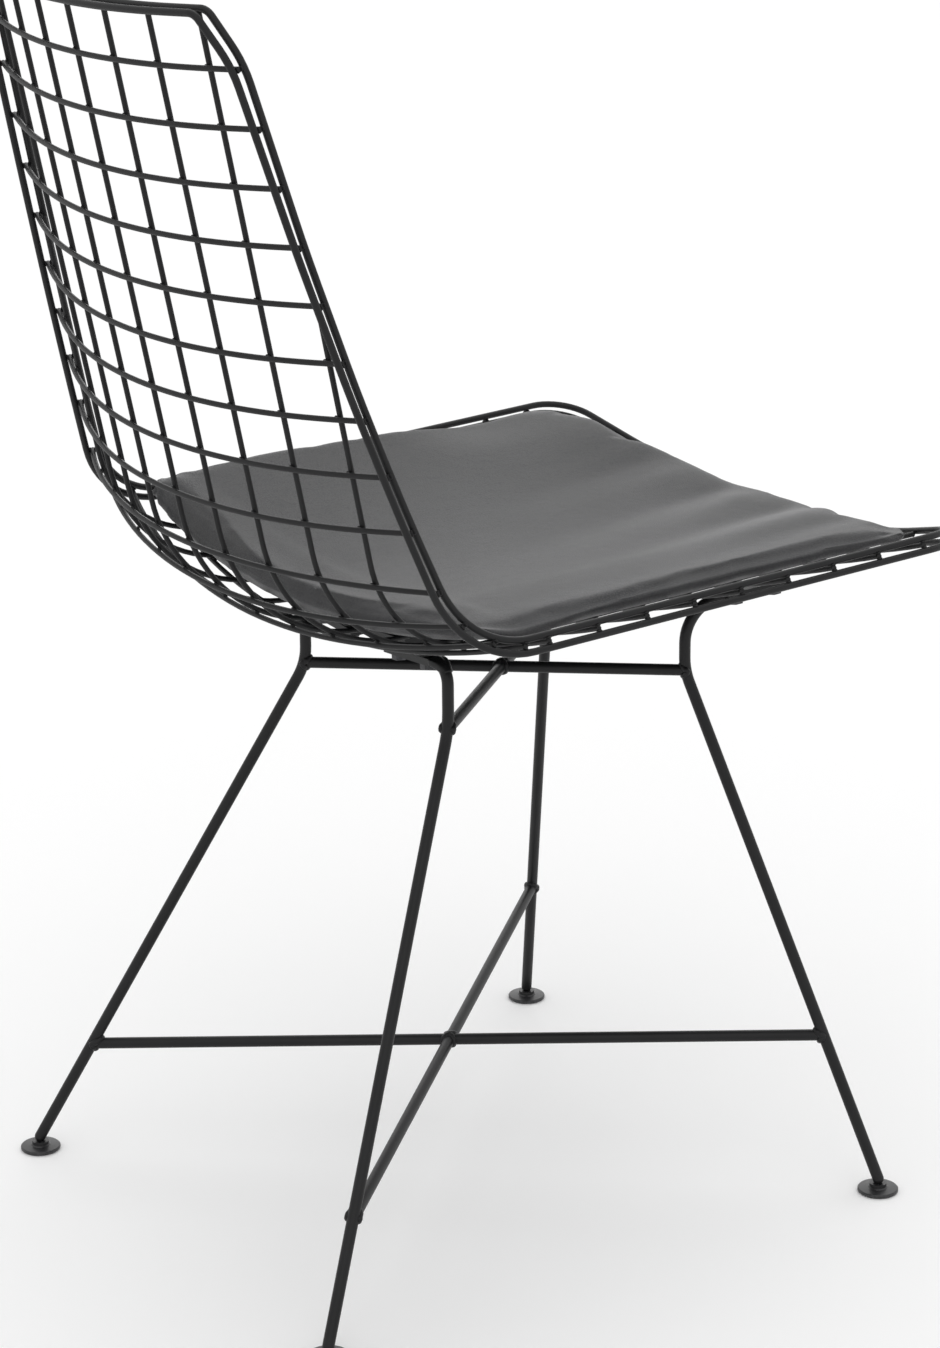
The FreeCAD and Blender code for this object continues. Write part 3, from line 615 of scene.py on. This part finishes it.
class WIRECHAIR_OT_legs(bpy.types.Operator):
    """Coats the legs, bars and mounts and adds the weld beads and the flattened rod ends."""

    bl_idname = "wirechair.legs"
    bl_label = "Legs and bars"

    def execute(self, context):
        coat = powder_coat("coat_rod", colours().coat, 0.40)
        dress(("leg_", "bar_", "mount_plate_"), coat)
        dress("bolts_", black_steel("bolt_steel", colours().bolt))
        lines = {corner: leg_line(corner) for corner in CORNERS}
        for level in ("upper", "lower"):
            for bar, first, last in BARS:
                points = node_points("bar_%s_%s" % (level, bar))
                middle, axes, _ = own_axes(points)
                away = axes[0] if axes[0] @ (lines[first][0] - middle) > 0 else -axes[0]
                for corner, outward in ((first, away), (last, -away)):
                    end = end_of(points, outward)
                    rod_point, rod_way = welded_rod(level, corner, end, outward, lines)
                    joint = nearest_on_line(middle, outward, rod_point, rod_way)
                    name = "weld_%s_%s_%s" % (level, bar, corner or "cross")
                    add_bead(name, joint, -outward, rod_way, coat)
        for corner in CORNERS:
            add_flat_end(corner, coat)
        return {"FINISHED"}


def add_flat_end(corner, material):
    """The hammered run of a leg: a round section that widens and thins into the flat tab.

    The section is a superellipse whose half axes go from the rod's radius to the tab's half width
    and half thickness, and whose power goes from two to six. It is carried back from the tab along
    its direction and then round the arc of the leg's last bend.
    """
    mount, axes, spans = own_axes(node_points("mount_plate_" + corner))
    up = axes[2] if axes[2][2] > 0 else -axes[2]
    front = corner.startswith("front")
    way = np.array([0, -1.0, 0] if front else [-np.sign(mount[0]), 0, 0])
    along = unit(way - up * (way @ up))
    wide = np.cross(up, along)
    tab_middle = mount - up * (spans[2] / 2 + PLATE_GAP + TAB_HALF_THICK)
    tab_start = tab_middle - along * TAB_REACH
    bend = SHOULDERS["front" if front else "back"]
    run = sizes().flat_run
    down = unit(np.array([0, 0, -1.0]) - along * (-along[2]))
    back = np.linspace(run, -TAB_OVERLAP, FLAT_RINGS)
    angle = np.maximum(back - TAB_STRAIGHT, 0) / bend
    centre = tab_start - along * TAB_STRAIGHT + down * bend
    on_arc = centre - np.sin(angle)[:, None] * along * bend - np.cos(angle)[:, None] * down * bend
    path = np.where((back > TAB_STRAIGHT)[:, None], on_arc, tab_start - back[:, None] * along)
    ahead = np.cos(angle)[:, None] * along - np.sin(angle)[:, None] * down
    above = np.cross(wide[None], -ahead)
    above = above * np.sign(above @ up)[:, None]
    ease = softened(1 - np.clip(back / run, 0, 1))
    half_wide, half_thick = (ROUND_HALF + (half - ROUND_HALF) * ease for half in FLAT_HALVES)
    power = 2 + 4 * ease
    turn = np.arange(FLAT_AROUND) * 2 * math.pi / FLAT_AROUND
    cos, sin = np.cos(turn)[None], np.sin(turn)[None]
    bend_out = 2 / power[:, None]
    x = np.sign(cos) * np.abs(cos) ** bend_out * half_wide[:, None]
    y = np.sign(sin) * np.abs(sin) ** bend_out * half_thick[:, None]
    points = path[:, None] + x[..., None] * wide[None, None] + y[..., None] * above[:, None]
    quads = grid_faces(len(path), len(turn), wrap_columns=True)
    side = np.cross(points[1, 0] - points[0, 0], points[0, 1] - points[0, 0])
    if side @ (points[0, 0] - path[0]) < 0:
        quads = quads[:, ::-1]
    rings = np.arange(len(turn))
    faces = quads.tolist() + [rings.tolist(), (rings + (len(path) - 1) * len(turn)).tolist()]
    piece = new_piece("flat_end_" + corner, points.reshape(-1, 3), faces, material)
    face_outwards(piece.data)


def face_outwards(mesh):
    """Turns a closed mesh's faces outwards."""
    work = bmesh.new()
    work.from_mesh(mesh)
    bmesh.ops.recalc_face_normals(work, faces=work.faces)
    work.to_mesh(mesh)
    work.free()


class WIRECHAIR_OT_glides(bpy.types.Operator):
    """Gives the glides their moulded plastic."""

    bl_idname = "wirechair.glides"
    bl_label = "Glides"

    def execute(self, context):
        dress("glide_", moulded_plastic("glide_plastic", colours().plastic))
        return {"FINISHED"}


# The seat pad

FOLDS = (  # place across, lean, width, height and length of each soft fold
    (0.120, 0.10, 0.016, 0.5, 0.110),
    (0.070, 0.14, 0.012, -0.7, 0.110),
    (0.030, 0.16, 0.017, 0.9, 0.150),
    (-0.012, 0.18, 0.012, -0.9, 0.130),
    (-0.046, 0.22, 0.016, 1.2, 0.170),
    (-0.086, 0.20, 0.012, -1.1, 0.150),
    (-0.122, 0.16, 0.014, 0.9, 0.130),
    (-0.156, 0.10, 0.010, -0.6, 0.100),
)
FOLD_START = 0.050  # distance behind the front edge over which the folds rise
FOLD_SPREAD = 3  # how much wider a fold gets for each metre behind the front edge
TOP_FROM, TOP_OVER = 0.010, 0.008  # height where the pad's top starts to count, and its soft run
SOFT_HEIGHT = 0.015  # height over which a lift grows from the underside up
REAR_STRETCH = 0.13  # how much further up the bend the pad reaches at its far rear corner
SIDE_THIN = 0.36  # how much thinner it is at its sides than the solid
SIDE_THIN_FROM = 0.13  # distance from the middle at which that starts
FAR_THIN_RUN = (0.17, 0.26)  # way forward over which the far side takes to it
REAR_THIN = 0.42  # how much thinner it is at its rear edge, towards the sitter's right
REAR_THIN_FROM = -0.06  # way at which that is whole; it fades out where the sheet's bend starts
REAR_LIFT = 0.007  # how much its far rear corner is puffed up
REAR_LIFT_RUN = 0.24  # way forward over which that fades out
FRONT_LIFT = 0.0045  # how much its far front corner is puffed up
FRONT_LIFT_RUN = 0.05  # distance behind the front edge over which that fades out
FRONT_LIFT_FROM, FRONT_LIFT_OVER = 0.03, 0.12  # it starts this far right of the middle and grows
FRONT_SINK = -0.6  # share of it by which the near front corner sinks
SEAM_WIDTH = 0.0016
SEAM_DEPTH = 0.0013
RIDGE_RISE = 0.0032  # from the seam up to the ridge above it
RIDGE_HEIGHT = 0.0007
SWELL_FRAMES = 20
PAD_ORIGIN = np.array([0, *SEAT_START]) + SEAT_AHEAD * PAD_BEND_EARLY  # where its bend starts
PAD_BEND_RADIUS = BEND_RADIUS - PAD_BEND_EARLY


def pad_place(points):
    """Where points lie on the pad: way forward of the bend, height over the wires, up direction.

    On the flat run the way and height are measured along the seat; behind it they turn about the
    axis of the pad's bend. The height of the wires' top follows the side to side curve.
    """
    flat = (points - PAD_ORIGIN) * [0, 1, 1]
    way, height = flat @ SEAT_AHEAD, flat @ SEAT_UP
    turned = np.hypot(way, PAD_BEND_RADIUS - height)
    behind = way < 0
    angle = np.arctan2(-way, PAD_BEND_RADIUS - height)
    over = np.where(behind, PAD_BEND_RADIUS - turned, height)
    local_way = np.where(behind, -angle * PAD_BEND_RADIUS, way) + PAD_BEND_EARLY
    leaning = np.cos(angle)[:, None] * SEAT_UP + np.sin(angle)[:, None] * SEAT_AHEAD
    direction = np.where(behind[:, None], leaning, SEAT_UP)
    under_radius = SEAT_CURVE - PAD_UNDER
    under = PAD_UNDER + under_radius - np.sqrt(under_radius ** 2 - points[:, 0] ** 2)
    return local_way, over - under, direction


def stretch_rear(points):
    """Carries the pad's rear a little further up the bend, most at the sitter's left.

    A point behind the start of the bend turns about the axis of the bend by a share of its own
    turn; the share grows evenly from the sitter's right to the left.
    """
    axis = PAD_ORIGIN + SEAT_UP * PAD_BEND_RADIUS
    way, drop = (points - axis) @ SEAT_AHEAD, -(points - axis) @ SEAT_UP
    far, angle = np.hypot(way, drop), np.arctan2(-way, drop)
    share = REAR_STRETCH * (0.5 + points[:, 0] / (2 * PAD_HALF_WIDTH))
    turned = angle * np.where((angle > 0) & (angle < 1), 1 + share, 1)
    spoke = -np.sin(turned)[:, None] * SEAT_AHEAD - np.cos(turned)[:, None] * SEAT_UP
    moved = axis + far[:, None] * spoke
    return np.where((angle > 0)[:, None], moved * [0, 1, 1] + points * [1, 0, 0], points)


def put_points(mesh, points):
    """Writes an array back to the vertices of a mesh."""
    mesh.vertices.foreach_set("co", np.asarray(points, np.float32).ravel())
    mesh.update()


def apply_modifiers(piece):
    """Replaces a piece's mesh with what its modifiers make of it."""
    graph = bpy.context.evaluated_depsgraph_get()
    made = bpy.data.meshes.new_from_object(piece.evaluated_get(graph))
    piece.modifiers.clear()
    piece.data = made
    return made


def pad_start(name):
    """A closed copy of the pad's solid, remeshed in cells and drawn in before it swells."""
    mesh = bpy.data.meshes.new(name)
    work = bmesh.new()
    work.from_mesh(frame["nodes"]["seat_pad"].data)
    bmesh.ops.remove_doubles(work, verts=work.verts, dist=0.00001)
    work.to_mesh(mesh)
    work.free()
    piece = linked(name, mesh)
    cells = piece.modifiers.new("cells", "REMESH")
    cells.mode = "VOXEL"
    cells.voxel_size = sizes().pad_voxel
    mesh = apply_modifiers(piece)
    put_points(mesh, mesh_points(mesh) - mesh_points(mesh, "normal") * sizes().pad_slack)
    return piece


def swell(piece):
    """Blows the pad up as cloth: pressure inside, no gravity, a limit on how far a point moves."""
    rest = mesh_points(piece.data)
    cloth = piece.modifiers.new("cover", "CLOTH")
    settings = cloth.settings
    settings.quality = 5
    settings.mass = 0.3
    settings.tension_stiffness = 15
    settings.compression_stiffness = 15
    settings.shear_stiffness = 5
    settings.bending_stiffness = 0.6
    settings.shrink_min = -0.03
    settings.use_pressure = True
    settings.uniform_pressure_force = 4
    settings.effector_weights.gravity = 0
    cloth.collision_settings.use_collision = False
    cloth.collision_settings.use_self_collision = False
    cloth.point_cache.frame_start = 1
    cloth.point_cache.frame_end = SWELL_FRAMES
    for step in range(1, SWELL_FRAMES + 1):
        bpy.context.scene.frame_set(step)
    mesh = apply_modifiers(piece)
    bpy.context.scene.frame_set(1)
    moved = mesh_points(mesh) - rest
    far = np.linalg.norm(moved, axis=1)
    limit = sizes().pad_swell
    share = np.where(far > 1e-9, np.tanh(far / limit) * limit / np.maximum(far, 1e-9), 1)
    put_points(mesh, rest + moved * share[:, None])


def thin_pad(points):
    """Thins the pad at its sides and its near rear edge, and puffs up its far rear corner."""
    way, height, up = pad_place(points)
    left = np.clip(points[:, 0] / PAD_HALF_WIDTH, 0, 1)
    side = SIDE_THIN * eased(np.abs(points[:, 0]), SIDE_THIN_FROM, PAD_HALF_WIDTH)
    side = side * np.where(points[:, 0] > 0, eased(way, *FAR_THIN_RUN), 1)
    rear = REAR_THIN * (1 - eased(way, REAR_THIN_FROM, 0.0)) * (1 - left)
    raised = REAR_LIFT * left * (1 - eased(way, 0.0, REAR_LIFT_RUN))
    raised = raised * np.clip(height / SOFT_HEIGHT, 0, 1)
    return points - up * (height * (1 - (1 - side) * (1 - rear)) - raised)[:, None]


def fold_lift(x, from_front):
    """How high the folds stand at each point, as a share of their height.

    A fold is a ridge across the pad, exp(-((x - its middle) / its width)^2), that leans and widens
    as it runs back from the front edge and fades out over its length.
    """
    back = np.clip(from_front, 0, None)
    lift = np.zeros(len(x))
    for across, lean, width, tall, length in FOLDS:
        middle = across - lean * from_front
        spread = width * (1 + FOLD_SPREAD * back)
        fade = eased(from_front, 0, FOLD_START) * np.exp(-(back / length) ** 2)
        lift += tall * fade * np.exp(-((x - middle) / spread) ** 2)
    return lift


def shape_pad(mesh):
    """Gives the pad its photographed form: stretched and thinned as the functions above say, with
    a puffed far front corner, folds behind the front edge and a side seam, resting on the wires.
    """
    points = thin_pad(stretch_rear(mesh_points(mesh)))
    put_points(mesh, points)
    normals = mesh_points(mesh, "normal")
    way, height, up = pad_place(points)
    from_front = PAD_FRONT - way
    facing = (normals * up).sum(1)
    on_top = np.clip((height - TOP_FROM) / TOP_OVER, 0, 1) * np.clip(facing * 2, 0, 1)
    lift = fold_lift(points[:, 0], from_front)
    puffed = np.exp(-(from_front / FRONT_LIFT_RUN) ** 2) * np.clip(height / SOFT_HEIGHT, 0, 1)
    leftwards = np.clip((points[:, 0] + FRONT_LIFT_FROM) / FRONT_LIFT_OVER, FRONT_SINK, 1)
    puffed = puffed * leftwards * FRONT_LIFT
    points = points + up * (lift * on_top * sizes().fold_height + puffed)[:, None]
    near_edge = 1 - np.clip(np.abs(facing) * 1.6, 0, 1)
    over_seam = height - sizes().seam_height
    # Mask of the seam groove: it sinks the cover here and also sets where the leather paints shade
    seam_groove_and_painted_shade = np.exp(-(over_seam / SEAM_WIDTH) ** 2) * near_edge
    ridge = np.exp(-((over_seam - RIDGE_RISE) / SEAM_WIDTH) ** 2) * near_edge
    turn = np.arctan2(points[:, 0] * 0.9, way - PAD_FRONT / 2)
    pucker = 0.5 + 0.5 * np.sin(turn * 93) * np.sin(turn * 41 + 1)
    raised = RIDGE_HEIGHT * ridge * (0.6 + 0.4 * pucker) - SEAM_DEPTH * seam_groove_and_painted_shade
    points = points + normals * raised[:, None]
    way, height, up = pad_place(points)
    points = points - up * np.minimum(height, 0)[:, None]
    put_points(mesh, points)
    # The groove's mask goes to the leather as the seam attribute, which paints shade into the
    # groove
    seam = mesh.attributes.new("seam", "FLOAT", "POINT")
    seam.data.foreach_set("value", seam_groove_and_painted_shade.astype(np.float32))


class WIRECHAIR_OT_pad(bpy.types.Operator):
    """Makes the stuffed seat pad with its folds and side seam."""

    bl_idname = "wirechair.pad"
    bl_label = "Seat pad"

    def execute(self, context):
        piece = pad_start("pad_cover")
        swell(piece)
        finer = piece.modifiers.new("finer", "SUBSURF")
        finer.levels = 1
        finer.render_levels = 1
        mesh = apply_modifiers(piece)
        shape_pad(mesh)
        shade_smooth(mesh)
        mesh.materials.clear()
        leather = soft_leather("pad_leather", colours().leather, colours().leather_deep)
        mesh.materials.append(leather)
        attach(piece, "pad")
        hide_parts("seat_pad")
        return {"FINISHED"}


# The studio

FLOOR_REACH = 14.0
WORLD_LIGHT = 0.87  # strength of the world where the camera doesn't see it
SUNS = (  # name, where it shines from, its spread in degrees and its strength
    ("key_sun", (0.9, -1.2, 2.4), 40.0, 0.42),
    ("fill_sun", (-1.6, 1.0, 1.9), 50.0, 0.25),
    ("low_sun", (1.64, -1.14, 0.25), 26.0, 0.22),
)
CAMERA_PLACE = (-1.9943, 1.3611, 1.1592)
CAMERA_TURN = (235.372, 18.154, -0.440)  # azimuth, elevation and roll in degrees
SENSOR = 36.0  # the longer side of the sensor, in millimetres
FOCAL_PIXELS, PHOTO_HEIGHT = 3704, 1348  # focal length and height of the photo, in its pixels


class WIRECHAIR_OT_stage(bpy.types.Operator):
    """Makes the floor, the world, the lights and the camera of the photograph."""

    bl_idname = "wirechair.stage"
    bl_label = "Studio"

    def execute(self, context):
        scene = bpy.context.scene
        scene.view_settings.view_transform = "Standard"
        add_floor()
        add_world(scene)
        for sun in SUNS:
            add_sun(*sun)
        add_camera(scene)
        return {"FINISHED"}


def add_floor():
    """A wide pale floor that a camera sees as white where no shadow falls."""
    side = np.linspace(-FLOOR_REACH, FLOOR_REACH, 3)
    points = np.stack([*np.meshgrid(side, side, indexing="ij"), np.zeros((3, 3))], -1)
    mesh = bpy.data.meshes.new("studio_floor")
    mesh.from_pydata(points.reshape(-1, 3).tolist(), [], grid_faces(3, 3).tolist())
    floor = linked("studio_floor", mesh)
    face_outwards(mesh)
    finish = Finish("studio_floor")
    finish.set(Base_Color=tuple(colours().floor), Roughness=0.9, Specular_IOR_Level=0.0)
    mesh.materials.append(finish.material)


def add_world(scene):
    """A pale even world that shows as white to the camera and in reflections."""
    world = bpy.data.worlds.new("studio_light")
    scene.world = world
    world.use_nodes = True
    nodes, links = world.node_tree.nodes, world.node_tree.links
    back, white = nodes["Background"], nodes.new("ShaderNodeBackground")
    for shade, strength in ((back, WORLD_LIGHT), (white, 1.0)):
        shade.inputs["Color"].default_value = (1.0, 1.0, 1.0, 1)
        shade.inputs["Strength"].default_value = strength
    seen = nodes.new("ShaderNodeLightPath")
    mixed = nodes.new("ShaderNodeMixShader")
    share = seen.outputs["Is Camera Ray"]
    for ray in ("Is Glossy Ray", "Is Transmission Ray"):
        either = nodes.new("ShaderNodeMath")
        either.operation = "MAXIMUM"
        links.new(share, either.inputs[0])
        links.new(seen.outputs[ray], either.inputs[1])
        share = either.outputs[0]
    links.new(share, mixed.inputs[0])
    links.new(back.outputs[0], mixed.inputs[1])
    links.new(white.outputs[0], mixed.inputs[2])
    links.new(mixed.outputs[0], nodes["World Output"].inputs["Surface"])


def add_sun(name, place, spread, strength):
    """A soft distant lamp from one side; its spread in degrees sets how soft its shadows are."""
    lamp = bpy.data.lights.new(name, "SUN")
    lamp.angle = math.radians(spread)
    lamp.energy = strength
    made = linked(name, lamp)
    made.location = place
    made.rotation_euler = (-Vector(place)).to_track_quat("-Z", "Y").to_euler()


def add_camera(scene):
    """The photograph's camera: its place, its turn and the angle that its frame takes in."""
    azimuth, elevation, roll = (math.radians(value) for value in CAMERA_TURN)
    back = Vector((
        math.sin(azimuth) * math.cos(elevation), -math.cos(azimuth) * math.cos(elevation),
        math.sin(elevation)))
    right = (-back).cross(Vector((0, 0, 1))).normalized()
    up = right.cross(-back)
    across = right * math.cos(roll) + up * math.sin(roll)
    upward = up * math.cos(roll) - right * math.sin(roll)
    data = bpy.data.cameras.new("photo_camera")
    data.sensor_width = SENSOR
    data.lens = SENSOR * FOCAL_PIXELS / PHOTO_HEIGHT
    camera = linked("photo_camera", data)
    turned = Matrix((across, upward, back)).transposed().to_4x4()
    camera.matrix_world = Matrix.Translation(CAMERA_PLACE) @ turned
    data.clip_end = 60
    scene.camera = camera


class WIRECHAIR_PT_looks(bpy.types.Panel):
    """Lists the steps that dress the chair."""

    bl_idname = "WIRECHAIR_PT_looks"
    bl_label = "Wire chair"
    bl_space_type = "VIEW_3D"
    bl_region_type = "UI"
    bl_category = "Wire chair"

    def draw(self, context):
        for group in (context.scene.wire_chair_sizes, context.scene.wire_chair_colours):
            for name in group.__annotations__:
                self.layout.prop(group, name)
        for step in STEPS:
            self.layout.operator(step.bl_idname)


STEPS = (
    WIRECHAIR_OT_mesh, WIRECHAIR_OT_legs, WIRECHAIR_OT_glides, WIRECHAIR_OT_pad,
    WIRECHAIR_OT_stage)
CLASSES = (WireChairSizes, WireChairColours, *STEPS, WIRECHAIR_PT_looks)


def register():
    for item in CLASSES:
        bpy.utils.register_class(item)
    bpy.types.Scene.wire_chair_sizes = bpy.props.PointerProperty(type=WireChairSizes)
    bpy.types.Scene.wire_chair_colours = bpy.props.PointerProperty(type=WireChairColours)


def unregister():
    del bpy.types.Scene.wire_chair_sizes
    del bpy.types.Scene.wire_chair_colours
    for item in reversed(CLASSES):
        bpy.utils.unregister_class(item)


def main():
    register()
    bpy.ops.wirechair.mesh()
    bpy.ops.wirechair.legs()
    bpy.ops.wirechair.glides()
    bpy.ops.wirechair.pad()
    bpy.ops.wirechair.stage()


if __name__ == "__main__":
    main()
